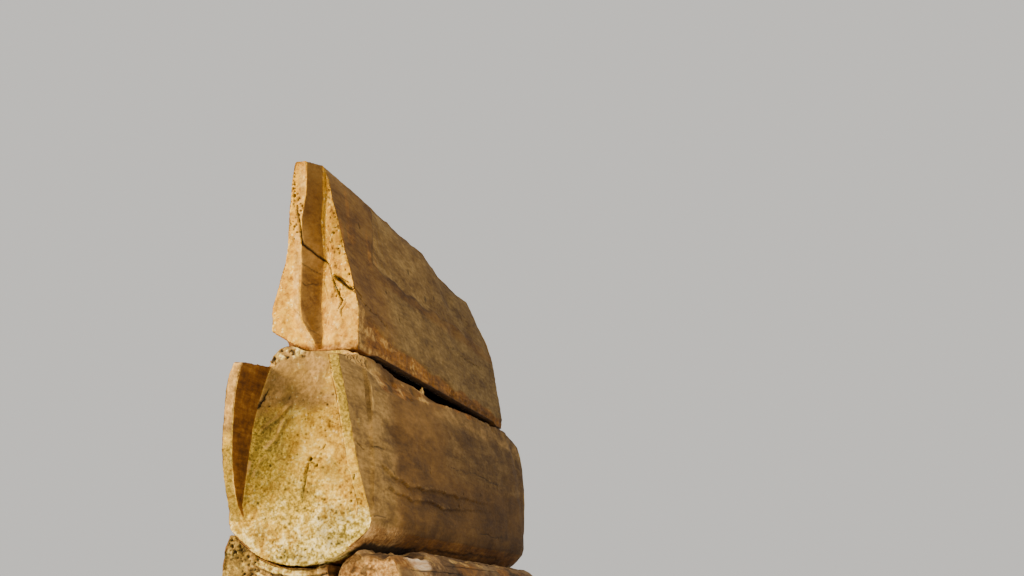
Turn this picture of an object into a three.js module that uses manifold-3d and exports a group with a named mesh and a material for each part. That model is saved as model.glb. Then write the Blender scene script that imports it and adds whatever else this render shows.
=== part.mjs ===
// A house-shaped wooden burial coffin: a chest and a gabled lid, each hewn from one log, laid
// on a hollowed cradle log and a round side log. Millimetres, +Z up, the floor at z = 0.
// X runs across the coffin, Y along it, and the end with the leaning gable faces -Y.
// Heights in the lists below are counted from the lowest line of the chest's belly.

import * as THREE from 'three';
import { mergeVertices } from 'three/addons/utils/BufferGeometryUtils.js';
import Module from 'manifold-3d';

const wasm = await Module();
wasm.setup();

// Driving dimensions of the chest
const CHEST_FLOOR = 165;
const CHEST_LENGTH = 2236;
const WALL_TOP = 730;
const END_BLOCK_TOP = 737;
const BELLY_RADIUS = 310;
const BELLY_EDGE = 243;
const SIDE_STEP = 10;
const STEP_LEAN = 75;
const CHEEK_REACH = 175;
const CHEEK_THICKNESS = 44;
const WALL_THICKNESS = 48;
const FLOOR_THICKNESS = 72;
const END_WALL = 180;
const PANEL_LEAN = 55;
const PANEL_BEND = 470;
const HUMP_HALF_WIDTH = 178;

// Driving dimensions of the lid
const SEAT_GAP = 0.3;
const LID_LENGTH = 2080;
const RIDGE_TOP = 1394;
const RIM_TOP = 868;
const GABLE_REACH = 165;
const LID_END_WALL = 130;
const ARCH_LIFT = 70;
const ARCH_START = -10;
const ARCH_END = -155;

// Driving dimensions of what carries the coffin, and of the chip in the gap
const LOG_LENGTH = 2180;
const SIDE_LOG_RADIUS = [122, 112];
const SIDE_LOG_X = 238;
const SIDE_LOG_FLAT = 4;
const CHIP_SIZE = [20, 26];
const CHIP_AT = [160, -300];

const HALF_CHEST = CHEST_LENGTH / 2;
const HALF_LID = LID_LENGTH / 2;
const LID_BOTTOM = END_BLOCK_TOP + SEAT_GAP;
const OPEN_TOP = END_BLOCK_TOP + 50;
const FAR = 3000;

// How finely curves are drawn
const BELLY_STEPS = 8;
const SIDE_STEPS = 14;
const LID_STEPS = 18;
const EDGE_STEPS = 14;
const WALL_STEPS = 22;
const LOG_SIDES = 26;

// The chest's side above the belly, as [half-width, height]
const CHEST_SIDE = [
  [243, 117.5], [253, 165], [248, 254], [235, 390], [223, 498], [206, 600], [182, 695], [174, WALL_TOP],
];
// A cheek's front edge, as [share of its reach, height]
const CHEEK_EDGE = [
  [0, 130], [0.05, 172], [0.38, 254], [0.6, 326], [0.76, 399], [0.89, 498], [1, 590], [0.99, 645], [0.95, 678],
];
// The worn top of the side walls, as [place along the chest, height]
const WALL_LINE = [
  [-HALF_CHEST, 708], [-1040, 725], [-880, 728], [-760, 718], [-600, 706], [-440, 708], [-330, 698], [-240, 689],
  [-120, 687], [80, 697], [400, 713], [HALF_CHEST, 722],
];
// The crumbled outer shoulder of the right wall, as [place along the chest, lowest height, hollow]
const SHOULDER = [
  [20, 688, 2], [-150, 664, 6], [-430, 647, 12], [-640, 618, 18], [-780, 613, 20], [-970, 622, 20], [-1005, 658, 22],
  [-1057, 668, 20], [-1156, 674, 18], [-1300, 684, 16],
];
// The ridge above the crumbled shoulder, as half-width and height
const SHOULDER_RIDGE = [172, 729];
// The lower top of the left wall's front end, as [place along the chest, height]
const LEFT_WALL_TOP = [[-890, 730], [-960, 700], [-1072, 686], [-1300, 664]];
// The left slope of the humps on the ends, as [place across, height]
const HUMP_LEFT = [[-80, 761], [-102, 758], [-124, 748], [-141, 729], [-152, 708], [-158, 687], [-160, 600]];
// The leaning gable's front edge, as [share of its reach, height], and the rotted rear end's edge
const GABLE_EDGE = [[0, 700], [0.06, 840], [0.1, 1000], [0.14, 1083], [0.4, 1209], [0.64, 1314], [1, 1430]];
const REAR_EDGE = [
  [HALF_LID, 700], [HALF_LID + 4, 1080], [HALF_LID - 40, 1190], [HALF_LID - 110, 1290], [HALF_LID - 190, 1430],
];
// The gable's groove, as [height, left edge, deepest line, right edge, depth]
const GROOVE = [
  [815, -22, 0, 22, 2], [900, -56, 4, 60, 44], [1083, -56, 8, 62, 62], [1209, -41, 10, 58, 62],
  [1290, -16, 26, 84, 60], [1415, 4, 42, 90, 54],
];
// The lid's hollow, as [half-width, height]
const LID_HOLLOW = [[118, 700], [118, 860], [96, 950], [60, 1080], [28, 1190], [6, 1240]];
// Where the lid's section is drawn, closer together where it changes
const LID_STATIONS = [
  1265, 960, 880, 800, 700, 380, 300, 220, 140, 40, -400, -600, -740, -840, -940, -1040, -1265,
];
// The arch under the lid's worn front corner: where it is drawn, and [place, share of its lift]
const ARCH_XS = [ARCH_START, -30, -60, -90, -120, -150, -190];
const ARCH_FADE = [[-780, 0], [-820, 0.15], [-880, 0.6], [-935, 1], [-1300, 1]];
// The cradle log's outline before the belly is cut out of it
const CRADLE = [
  [-190, -165], [50, -165], [88, -130], [104, -50], [92, 20], [60, 60], [-200, 112], [-264, 112],
  [-284, 55], [-288, -30], [-262, -120],
];

const wood = {
  chest: new THREE.MeshStandardMaterial({ color: 0x9a8560, roughness: 0.92, metalness: 0 }),
  lid: new THREE.MeshStandardMaterial({ color: 0x8f7650, roughness: 0.88, metalness: 0 }),
  log: new THREE.MeshStandardMaterial({ color: 0x8a6a4a, roughness: 0.95, metalness: 0 }),
  chip: new THREE.MeshStandardMaterial({ color: 0xb99a70, roughness: 0.9, metalness: 0 }),
};

const { smoothstep, lerp } = THREE.MathUtils;
const at = (across, up) => new THREE.Vector2(across, up);
const swapped = (points) => points.map((p) => at(p.y, p.x));
const turnedRound = (points) => points.map((p) => at(-p.x, p.y)).reverse();

// A smooth open line through a few driving points, sampled evenly
function smooth(points, count) {
  return new THREE.SplineCurve(points.map(([a, b]) => at(a, b))).getPoints(count);
}

// The height of a sampled line at a place along it
function heightAt(line, x) {
  const i = Math.max(1, line.findIndex((p) => p.x >= x));
  const [a, b] = [line[i - 1], line[i]];
  return lerp(a.y, b.y, (x - a.x) / (b.x - a.x));
}

function solidOf(geometry) {
  geometry.deleteAttribute('normal');
  geometry.deleteAttribute('uv');
  const merged = mergeVertices(geometry, 1e-3);
  return new wasm.Manifold(new wasm.Mesh({
    numProp: 3,
    vertProperties: new Float32Array(merged.attributes.position.array),
    triVerts: new Uint32Array(merged.index.array),
  }));
}

function meshOf(name, solid, material) {
  const { vertProperties, triVerts } = solid.getMesh();
  const geometry = new THREE.BufferGeometry();
  geometry.setAttribute('position', new THREE.BufferAttribute(vertProperties, 3));
  geometry.setIndex(new THREE.BufferAttribute(triVerts, 1));
  geometry.computeVertexNormals();
  const mesh = new THREE.Mesh(geometry, material);
  mesh.name = name;
  return mesh;
}

// A closed outline from one half that climbs from the bottom to the top, and its mirror image
function mirrored(half) {
  return [...half, ...turnedRound(half)];
}

// A closed outline between a rising line at the front and its mirror image at the rear
function between(front, top = []) {
  return [...turnedRound(front).reverse(), ...top, ...[...front].reverse()];
}

// A cross-section in X and height, drawn out along Y
function drawnAlongY(points, y0 = -FAR, y1 = FAR) {
  const geometry = new THREE.ExtrudeGeometry(new THREE.Shape(points), { depth: y1 - y0, bevelEnabled: false });
  geometry.rotateX(Math.PI / 2);
  geometry.translate(0, y1, CHEST_FLOOR);
  return solidOf(geometry);
}

// A side view in Y and height, drawn out along X
function drawnAlongX(points) {
  const geometry = new THREE.ExtrudeGeometry(new THREE.Shape(points), { depth: 2 * FAR, bevelEnabled: false });
  geometry.applyMatrix4(new THREE.Matrix4().makeBasis(
    new THREE.Vector3(0, 1, 0), new THREE.Vector3(0, 0, 1), new THREE.Vector3(1, 0, 0),
  ));
  geometry.translate(-FAR, 0, CHEST_FLOOR);
  return solidOf(geometry);
}

// A closed body through rings of equally many [x, y, height] corners. They turn anticlockwise
// as seen from ahead, looking back at the rings that come before.
function through(rings) {
  const n = rings[0].length;
  const last = (rings.length - 1) * n;
  const corners = rings.flat().flatMap(([x, y, z]) => [x, y, z + CHEST_FLOOR]);
  const index = [];
  for (let s = 0; s + 1 < rings.length; s += 1) {
    for (let i = 0; i < n; i += 1) {
      const a = s * n + i;
      const b = s * n + ((i + 1) % n);
      index.push(a, b, b + n, a, b + n, a + n);
    }
  }
  for (let i = 1; i + 1 < n; i += 1) {
    index.push(0, i + 1, i, last, last + i, last + i + 1);
  }
  const geometry = new THREE.BufferGeometry();
  geometry.setAttribute('position', new THREE.BufferAttribute(new Float32Array(corners), 3));
  geometry.setIndex(index);
  return solidOf(geometry);
}

// Half of the chest's outline, from the lowest line of the belly up to the wall's top or above it
function chestHalf(inset, bottom, top = WALL_TOP) {
  const radius = BELLY_RADIUS - inset;
  const turn = Math.asin((BELLY_EDGE - inset) / radius);
  const belly = Array.from({ length: BELLY_STEPS + 1 }, (_, i) => {
    const a = (turn * i) / BELLY_STEPS;
    return at(Math.max(radius * Math.sin(a), 1), bottom + radius * (1 - Math.cos(a)));
  });
  const side = smooth(CHEST_SIDE, SIDE_STEPS)
    .map((p) => at(p.x - inset, p.y))
    .filter((p) => p.y > belly.at(-1).y + 20);
  const above = top > WALL_TOP ? [at(side.at(-1).x, top)] : [];
  return [...belly, ...side, ...above];
}

// The underside of the lid's front end rises towards its left corner, which has worn away
function archHeight(x) {
  return ARCH_LIFT * Math.max(0, (ARCH_START - x) / (ARCH_START - ARCH_END)) ** 1.3;
}

// The two side walls as seen from beside, with the cheeks' curved edges and the worn top
function chestFromBeside() {
  const edge = smooth(CHEEK_EDGE, EDGE_STEPS).map((p) => at(-(HALF_CHEST + CHEEK_REACH * p.x), p.y));
  const top = smooth(WALL_LINE, WALL_STEPS).reverse();
  return drawnAlongX(between([at(-HALF_CHEST, -50), ...edge], top));
}

// The wider middle of the chest starts at a line that leans back a little on each side
function wideMiddle() {
  const line = [at(-HALF_CHEST, -50), at(-HALF_CHEST, 170), at(-HALF_CHEST + STEP_LEAN, WALL_TOP + 20)];
  return drawnAlongY(mirrored(chestHalf(-SIDE_STEP, 0))).intersect(drawnAlongX(between(line)));
}

// The ends rise above the side walls as low humps, and the lid rests on them
function endBlocks() {
  const inner = HALF_CHEST - END_WALL;
  const outer = HALF_CHEST - 0.85 * PANEL_LEAN;
  const shoulder = [
    at(HUMP_HALF_WIDTH, 600), at(HUMP_HALF_WIDTH, 690), at(152, END_BLOCK_TOP - 12), at(126, END_BLOCK_TOP),
  ];
  const arch = ARCH_XS.slice(0, 3).map((x) => at(x, END_BLOCK_TOP + archHeight(x)));
  const left = HUMP_LEFT.map(([x, z]) => at(x, z));
  return drawnAlongY([...shoulder, ...arch, ...left], -outer, -inner)
    .add(drawnAlongY(mirrored(shoulder), inner, outer));
}

function crumbledShoulder() {
  const sideLine = swapped(smooth(CHEST_SIDE, SIDE_STEPS));
  const [ridge, ridgeTop] = SHOULDER_RIDGE;
  return through(SHOULDER.map(([y, low, hollow]) => {
    const middle = (low + ridgeTop) / 2;
    return [
      [heightAt(sideLine, low) + SIDE_STEP, y, low], [330, y, low], [330, y, 800], [150, y, 800], [ridge, y, ridgeTop],
      [heightAt(sideLine, middle) + SIDE_STEP - hollow, y, middle],
    ];
  }));
}

function wornLeftWall() {
  return through(LEFT_WALL_TOP.map(([y, low]) => [[-330, y, low], [-133, y, low], [-133, y, 800], [-330, y, 800]]));
}

function buildChest() {
  const alcove = drawnAlongY(mirrored(chestHalf(CHEEK_THICKNESS, FLOOR_THICKNESS, OPEN_TOP)));
  const beforePanel = [
    at(-FAR, 0), at(-HALF_CHEST, 0), at(-HALF_CHEST, PANEL_BEND), at(-HALF_CHEST + 0.4 * PANEL_LEAN, 620),
    at(-HALF_CHEST + PANEL_LEAN, OPEN_TOP), at(-FAR, OPEN_TOP),
  ];
  const inner = HALF_CHEST - END_WALL;
  const cavity = drawnAlongY(mirrored(chestHalf(WALL_THICKNESS, FLOOR_THICKNESS, OPEN_TOP)), -inner, inner);
  return drawnAlongY(mirrored(chestHalf(0, 0)))
    .add(wideMiddle())
    .intersect(chestFromBeside())
    .subtract(wornLeftWall())
    .add(endBlocks())
    .subtract(alcove.intersect(drawnAlongX(beforePanel)))
    .subtract(alcove.intersect(drawnAlongX(turnedRound(beforePanel))))
    .subtract(cavity)
    .subtract(crumbledShoulder());
}

// The lid's section, whose rim gets lower and whose ridge is worn down towards the rear
function lidRing(y) {
  const rim = RIM_TOP - 52 * smoothstep(y, -1040, -560) - 26 * smoothstep(y, -400, 700);
  const sunk = 52 * smoothstep(y, 60, 360) + 75 * smoothstep(y, 780, 1060);
  const half = smooth([
    [164, LID_BOTTOM], [165, rim], [157, rim + 48], [130, lerp(rim, 1180, 0.5)], [111, 1095], [93, 1209],
    [73, 1300], [60, 1352], [42, RIDGE_TOP],
  ], LID_STEPS);
  return mirrored(half).map((p) => [p.x, y, p.y - sunk * smoothstep(p.y, 1080, RIDGE_TOP + 20)]);
}

function gableGroove(front) {
  const frontLine = swapped(front);
  return through(GROOVE.map(([z, left, deep, right, depth]) => {
    const y = heightAt(frontLine, z);
    return [[left, y - 90, z], [right, y - 90, z], [right, y, z], [deep, y + depth, z], [left, y, z]];
  }));
}

function wornCorner() {
  return through(ARCH_FADE.map(([y, share]) => [
    [ARCH_XS.at(-1), y, 650], [ARCH_START, y, 650],
    ...ARCH_XS.map((x) => [x, y, LID_BOTTOM + share * archHeight(x)]),
  ]));
}

function buildLid() {
  const front = smooth(GABLE_EDGE, EDGE_STEPS).map((p) => at(-(HALF_LID + GABLE_REACH * p.x), p.y));
  const rear = REAR_EDGE.map(([y, z]) => at(y, z));
  const inner = HALF_LID - LID_END_WALL;
  return through(LID_STATIONS.map(lidRing))
    .intersect(drawnAlongX([...rear, ...[...front].reverse()]))
    .subtract(gableGroove(front))
    .subtract(wornCorner())
    .subtract(drawnAlongY(mirrored(smooth(LID_HOLLOW, 10)), -inner, inner));
}

// The belly's own form, dropped by the seat's gap, which both logs are hollowed to
function bellySeat() {
  return drawnAlongY(mirrored(chestHalf(-SIDE_STEP, -SEAT_GAP)));
}

function buildCradleLog() {
  const half = LOG_LENGTH / 2;
  return drawnAlongY(CRADLE.map(([x, z]) => at(x, z)), -half, half).subtract(bellySeat());
}

// A round log that tapers to the rear and is flattened where it lies on the floor
function buildSideLog() {
  const [front, rear] = SIDE_LOG_RADIUS;
  const geometry = new THREE.CylinderGeometry(rear, front, LOG_LENGTH, LOG_SIDES);
  geometry.rotateX(-Math.atan2(front - rear, LOG_LENGTH));
  geometry.translate(SIDE_LOG_X, 0, (front + rear) / 2 - SIDE_LOG_FLAT);
  const below = [at(-FAR, -600), at(FAR, -600), at(FAR, -CHEST_FLOOR), at(-FAR, -CHEST_FLOOR)];
  return solidOf(geometry).subtract(drawnAlongX(below)).subtract(bellySeat());
}

// A chip of wood that stands in the gap between the right wall and the lid's rim
function buildChip() {
  const [x, y] = CHIP_AT;
  const wallLine = smooth(WALL_LINE, WALL_STEPS);
  const foot = SEAT_GAP + Math.max(...[-1, 1].map((side) => heightAt(wallLine, y + (side * CHIP_SIZE[1]) / 2)));
  const geometry = new THREE.BoxGeometry(...CHIP_SIZE, END_BLOCK_TOP - foot);
  geometry.translate(x, y, CHEST_FLOOR + (END_BLOCK_TOP + foot) / 2);
  return solidOf(geometry);
}

const coffin = new THREE.Group();
coffin.add(meshOf('chest', buildChest(), wood.chest));
coffin.add(meshOf('lid', buildLid(), wood.lid));
coffin.add(meshOf('cradle_log', buildCradleLog(), wood.log));
coffin.add(meshOf('side_log', buildSideLog(), wood.log));
coffin.add(meshOf('gap_chip', buildChip(), wood.chip));

export default coffin;
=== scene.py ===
import math

import bmesh
import bpy
import numpy as np
from mathutils import Matrix, Vector


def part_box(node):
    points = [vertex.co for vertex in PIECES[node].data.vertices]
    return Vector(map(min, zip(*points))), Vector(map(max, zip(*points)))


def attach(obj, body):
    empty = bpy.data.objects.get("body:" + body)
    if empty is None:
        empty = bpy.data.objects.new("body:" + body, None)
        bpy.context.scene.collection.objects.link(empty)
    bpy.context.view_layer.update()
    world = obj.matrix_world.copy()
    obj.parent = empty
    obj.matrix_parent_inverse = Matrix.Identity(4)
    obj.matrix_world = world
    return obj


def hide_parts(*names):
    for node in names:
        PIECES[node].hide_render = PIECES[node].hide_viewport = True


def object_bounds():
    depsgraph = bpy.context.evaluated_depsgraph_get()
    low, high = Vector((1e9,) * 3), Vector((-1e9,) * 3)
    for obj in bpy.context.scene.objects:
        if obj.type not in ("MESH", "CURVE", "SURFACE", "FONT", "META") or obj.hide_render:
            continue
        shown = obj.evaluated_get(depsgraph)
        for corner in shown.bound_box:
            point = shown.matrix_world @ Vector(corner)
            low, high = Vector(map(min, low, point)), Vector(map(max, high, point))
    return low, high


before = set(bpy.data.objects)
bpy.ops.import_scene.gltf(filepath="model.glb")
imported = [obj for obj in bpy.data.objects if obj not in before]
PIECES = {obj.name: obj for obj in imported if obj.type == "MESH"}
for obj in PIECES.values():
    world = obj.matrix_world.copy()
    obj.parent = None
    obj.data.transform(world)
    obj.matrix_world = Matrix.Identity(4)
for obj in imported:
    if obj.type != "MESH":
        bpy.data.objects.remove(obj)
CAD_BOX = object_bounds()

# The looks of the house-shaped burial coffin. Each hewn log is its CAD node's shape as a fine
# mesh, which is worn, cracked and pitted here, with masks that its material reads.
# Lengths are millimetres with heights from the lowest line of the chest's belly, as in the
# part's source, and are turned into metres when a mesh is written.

BELLY_HEIGHT = 165.0
MM_PER_M = 1000


# Numbers in space

LATTICE_SIZE = 96
LATTICE_SEED = 2026
LATTICE = np.random.default_rng(LATTICE_SEED).random(LATTICE_SIZE ** 3, dtype=np.float32) * 2 - 1
SHIFT_PER_SEED = np.array((17.31, 5.77, 29.13), np.float32)


def noise(points, size, seed, stretch=(1, 1, 1)):
    """Smooth random values from -1 to 1 in space; a feature is about one size long"""
    scaled = (points / (np.array(stretch) * size)).astype(np.float32)
    scaled += SHIFT_PER_SEED * seed
    cell = np.floor(scaled)
    part = scaled - cell
    part *= part * (3 - 2 * part)
    low = cell.astype(np.int32) % LATTICE_SIZE
    high = (low + 1) % LATTICE_SIZE

    def row(i, j):
        base = (i * LATTICE_SIZE + j) * LATTICE_SIZE
        start = LATTICE[base + low[:, 2]]
        return start + (LATTICE[base + high[:, 2]] - start) * part[:, 2]

    def sheet(i):
        start = row(i, low[:, 1])
        return start + (row(i, high[:, 1]) - start) * part[:, 1]

    start = sheet(low[:, 0])
    return start + (sheet(high[:, 0]) - start) * part[:, 0]


def rough(points, size, seed, octaves=3, stretch=(1, 1, 1)):
    """Noise with finer and weaker noise on top of it"""
    total = np.zeros(len(points), np.float32)
    for octave in range(octaves):
        total += noise(points, size / 2 ** octave, seed + octave, stretch) / 2 ** octave
    return total


def smooth(low, high, value):
    """0 below low, 1 above high and an S-shaped passage between them; low may be the larger"""
    share = np.clip((value - low) / (high - low), 0, 1)
    return share * share * (3 - 2 * share)


def hill(value, centre, reach):
    """1 at the centre, about a third at one reach from it and nothing far away"""
    return np.exp(-((value - centre) / reach) ** 2)


def flaked(points, size, seed):
    """How many thin layers have flaked off, from 0 to 2, with steep edges between the patches"""
    layers = rough(points, size, seed)
    return smooth(0.02, 0.1, layers) + smooth(-0.45, -0.36, layers)


def near_line(u, v, line):
    """Each point's distance to a line of corners, and its place along it from 0 to 1"""
    best = np.full(len(u), 1e9, np.float32)
    place = np.zeros(len(u), np.float32)
    steps = [math.dist(a, b) for a, b in zip(line, line[1:])]
    done = 0.0
    for (a, b), step in zip(zip(line, line[1:]), steps):
        run = ((u - a[0]) * (b[0] - a[0]) + (v - a[1]) * (b[1] - a[1])) / step ** 2
        run = np.clip(run, 0, 1)
        gap = np.hypot(u - a[0] - run * (b[0] - a[0]), v - a[1] - run * (b[1] - a[1]))
        closer = gap < best
        best[closer] = gap[closer]
        place[closer] = (done + run[closer] * step) / sum(steps)
        done += step
    return best, place


# A piece: a CAD node's shape as a fine mesh

EDGE_ROUNDED_OFF = 2.5
TOUCHED = 0.02
KEEP_STEPS = 8


class Carving:
    """Points, how deep each is worn inwards, and masks; each piece adds its own zones as shares"""

    def __init__(self, name, node, voxel, rounding):
        mesh = PIECES[node].data.copy()
        joined = bmesh.new()
        joined.from_mesh(mesh)
        bmesh.ops.remove_doubles(joined, verts=joined.verts, dist=1e-6)
        joined.to_mesh(mesh)
        joined.free()
        self.piece = bpy.data.objects.new(name, mesh)
        self.node = node
        bpy.context.scene.collection.objects.link(self.piece)
        self.modify("REMESH", mode="VOXEL", voxel_size=voxel / MM_PER_M, adaptivity=0)
        sharp = self.read("vertices", "co")
        self.modify("SMOOTH", factor=0.5, iterations=rounding)
        self.at = self.read("vertices", "co") * MM_PER_M - (0, 0, BELLY_HEIGHT)
        self.normal = self.read("vertices", "normal")
        worn_off = ((sharp * MM_PER_M - (0, 0, BELLY_HEIGHT)) - self.at) * self.normal
        self.edge = np.clip(worn_off.sum(1) / EDGE_ROUNDED_OFF, 0, 1)
        self.depth = np.zeros(len(self.at), np.float32)
        self.masks = {}

    def modify(self, kind, **settings):
        """Applies one modifier to the piece's mesh"""
        modifier = self.piece.modifiers.new(kind, kind)
        for key, value in settings.items():
            setattr(modifier, key, value)
        view = bpy.context.evaluated_depsgraph_get()
        made = bpy.data.meshes.new_from_object(self.piece.evaluated_get(view))
        self.piece.modifiers.clear()
        self.piece.data = made

    def read(self, layer, field):
        items = getattr(self.piece.data, layer)
        values = np.empty(len(items) * 3, np.float32)
        items.foreach_get(field, values)
        return values.reshape(-1, 3)

    def mask(self, **added):
        """Adds to masks, keeping the stronger of the old and the new value"""
        for name, values in added.items():
            old = self.masks.get(name, np.zeros(len(self.at), np.float32))
            self.masks[name] = np.maximum(old, values.astype(np.float32))

    def cut(self, zone, u, v, line, width, depth, dark=1.0, waver=3.0, seed=1, grain=16):
        """A crack along a line on a face: wide and deep in its middle, thin at its ends, and darkened with
        painted shade
        """
        where = np.nonzero(zone > TOUCHED)[0]
        flat = np.stack([u[where], v[where], np.zeros(len(where))], 1)
        du = noise(flat, grain, seed) * waver
        dv = noise(flat, grain, seed + 7) * waver
        gap, place = near_line(u[where] + du, v[where] + dv, line)
        taper = np.clip(np.minimum(place, 1 - place) * 6 + 0.25, 0, 1)
        taper *= 0.75 + 0.35 * noise(flat, grain * 3, seed + 3)
        share = (1 - smooth(0.3, 1, gap / (width * taper))) * zone[where]
        self.depth[where] = np.maximum(self.depth[where], share * depth)
        marks = np.zeros(len(self.at), np.float32)
        marks[where] = share * dark
        self.mask(dark=marks)

    def cuts(self, zone, u, v, cracks, grain=16):
        """Several cracks, each given as (line, width, depth, darkness, waver)"""
        for line, width, depth, dark, waver in cracks:
            self.cut(zone, u, v, line, width, depth, dark, waver, grain=grain)

    def pit(self, zone, u, v, spots, dark=1.0, seed=3):
        """Round holes with ragged edges, darkened with painted shade, each given as (u, v, radius, depth)"""
        where = np.nonzero(zone > TOUCHED)[0]
        flat = np.stack([u[where], v[where], np.zeros(len(where))], 1)
        wobble = 1 + 0.3 * noise(flat, 7, seed)
        marks = np.zeros(len(self.at), np.float32)
        for a, b, radius, depth in spots:
            gap = np.hypot(u[where] - a, v[where] - b) * wobble
            share = (1 - smooth(0.55, 1.1, gap / radius)) * zone[where]
            self.depth[where] = np.maximum(self.depth[where], share * depth)
            marks[where] = np.maximum(marks[where], share * dark)
        self.mask(dark=marks)

    def done(self, keep, faces, slot, body):
        """Writes the mesh, thins it where keep is low, paints it and sets it on its body"""
        self.at = self.at - self.normal * self.depth[:, None]
        low, high = (np.array(corner) for corner in CAD_BOX)
        placed = (self.at + (0, 0, BELLY_HEIGHT)) / MM_PER_M
        placed = np.clip(placed, low, high)
        mesh = self.piece.data
        mesh.vertices.foreach_set("co", placed.astype(np.float32).ravel())
        for name in MASKS:
            layer = mesh.attributes.new(name, "FLOAT", "POINT")
            layer.data.foreach_set("value", self.masks.get(name, np.zeros(len(self.at), np.float32)))
        group = self.piece.vertex_groups.new(name="coarse")
        for step in range(1, KEEP_STEPS + 1):
            chosen = np.nonzero(np.round((1 - keep) * KEEP_STEPS) == step)[0]
            group.add(chosen.tolist(), step / KEEP_STEPS, "REPLACE")
        share = faces / (2 * len(mesh.polygons))
        if share < 1:
            self.modify("DECIMATE", ratio=share, vertex_group="coarse", use_collapse_triangulate=True)
        self.piece.vertex_groups.clear()
        mesh = self.piece.data
        mesh.polygons.foreach_set("use_smooth", np.ones(len(mesh.polygons), bool))
        mesh.materials.clear()
        mesh.materials.append(old_wood(self.piece.name, *WOODS[self.piece.name]))
        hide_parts(self.node)
        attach(self.piece, body)
        print(self.piece.name, len(mesh.polygons), "faces")


# Materials: one weathered wood with a palette for each log

# Besides stains, dirt, growth and wear, these masks carry painted shade in hollows, cracks, holes and
# grooves, under things and towards the rear, and painted highlights in a few places
MASKS = ("end", "dark", "pale", "moss", "crust", "rust", "stain_and_shade", "fresh", "silver", "ash")

FLAKE_COLOUR = "fbe096"
FRECKLE_COLOUR = "44300f"
# Colour of stains, also used as painted shade in hollows, underneath and towards the rear
STAIN_AND_SHADE_COLOUR = "2c1806"
# Colour of painted shade in cracks, holes and hollows, and of dark streaks
SHADE_AND_STREAK_COLOUR = "0d0702"
PLAIN_SILVER = ("5c4522", "7a5e30", "987a44")

# Each piece's side grain and end grain from dark to light, its pattern's shift, and its own silver
WOODS = {
    "chest_wood": (
        ("42290e", "60431c", "7c5826", "987036"), ("745010", "b28824", "dab040", "f4d468"), 3.0,
        ("6a4e26", "8e6e38", "b08a50"),
    ),
    "lid_wood": (("442b10", "66461d", "83602b", "9c783e"), ("8e5e10", "be881c", "daa62c", "eec046"), 7.0),
    "cradle_wood": (("2c1a0c", "563a1e", "7c5830", "9a7848"), ("4c3812", "927034", "c69e56", "eccb84"), 11.0),
    "side_wood": (("35220f", "66492a", "8c6c42", "ae8e60"), ("4a3418", "866636", "b2905a", "d8bc88"), 17.0),
    "chip_wood": (("5a4020", "987046", "b98e60", "d8b48a"), ("6e5430", "b08f54", "d8bb80", "efdcae"), 23.0),
}


def linear(code):
    """A colour code such as 8f7650 as linear red, green, blue and alpha"""
    parts = [int(code[i:i + 2], 16) / 255 for i in (0, 2, 4)]
    return [p / 12.92 if p <= 0.04045 else ((p + 0.055) / 1.055) ** 2.4 for p in parts] + [1.0]


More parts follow.
